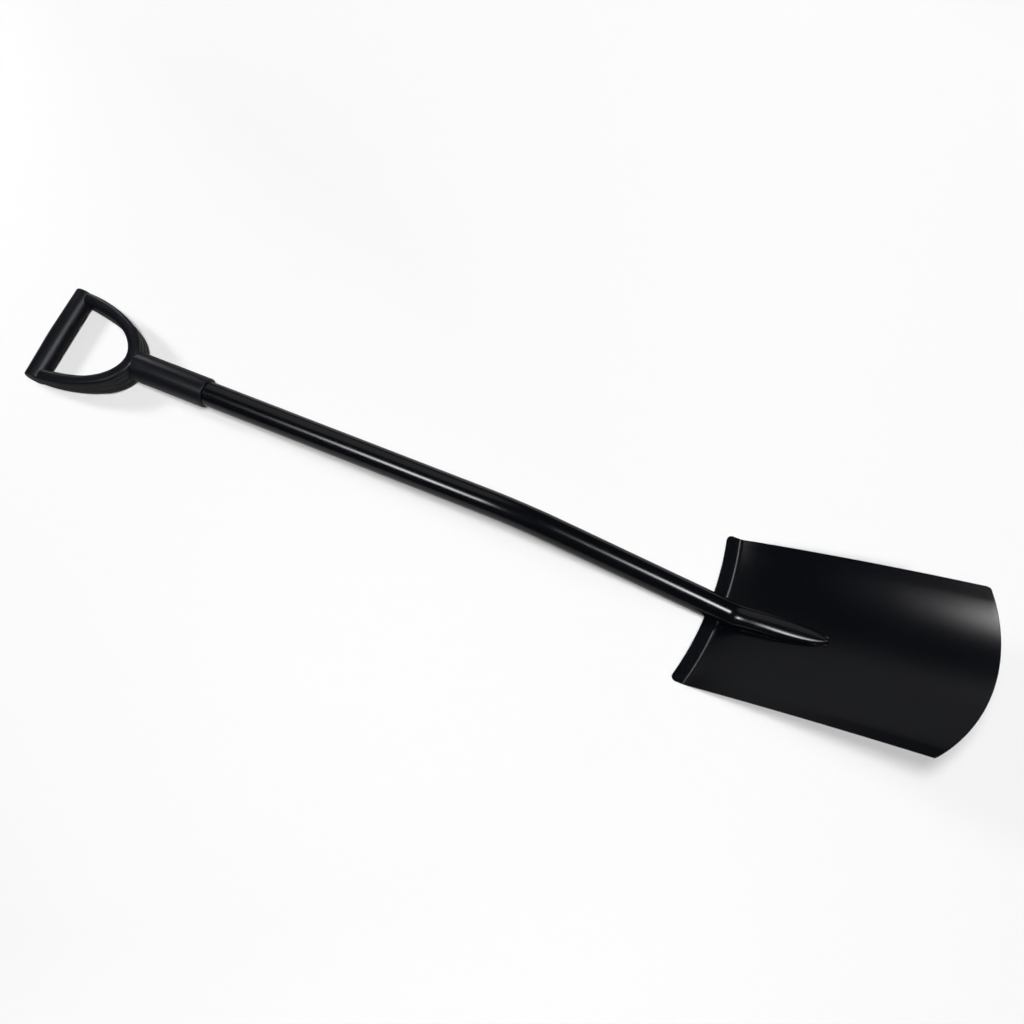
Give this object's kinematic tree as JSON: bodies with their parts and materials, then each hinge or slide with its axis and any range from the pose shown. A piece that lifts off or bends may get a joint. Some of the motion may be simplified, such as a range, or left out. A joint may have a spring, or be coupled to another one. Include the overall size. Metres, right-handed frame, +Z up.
{
  "type": "garden spade",
  "caption": "Cranked garden spade: dished steel blade with a folded tread, bent steel tube shaft welded to the blade's front, and a moulded D-grip.",
  "frame": {"origin": "on the floor under the middle of the lying spade's bounding box", "axes": "+X from the grip to the blade's tip, +Y to the spade's left as seen from the grip, +Z up, out of the blade's front"},
  "size_m": [1.1466, 0.183, 0.1524],
  "materials": {
    "blade_coat": "satin black powder coat",
    "tube_coat": "semi-gloss black powder coat",
    "weld_coat": "semi-gloss black powder coat over weld",
    "grip_plastic": "satin black moulding",
    "screw_steel": "zinc plated"
  },
  "bodies": {
    "root": {"blade": "blade_coat", "shaft_tube": "tube_coat", "grip": "grip_plastic", "grip_screw": "screw_steel", "toe_weld_left": "weld_coat", "toe_weld_right": "weld_coat", "toe_tip_welds": "weld_coat", "tread_weld_left": "weld_coat", "tread_weld_right": "weld_coat"}
  },
  "joints": []
}
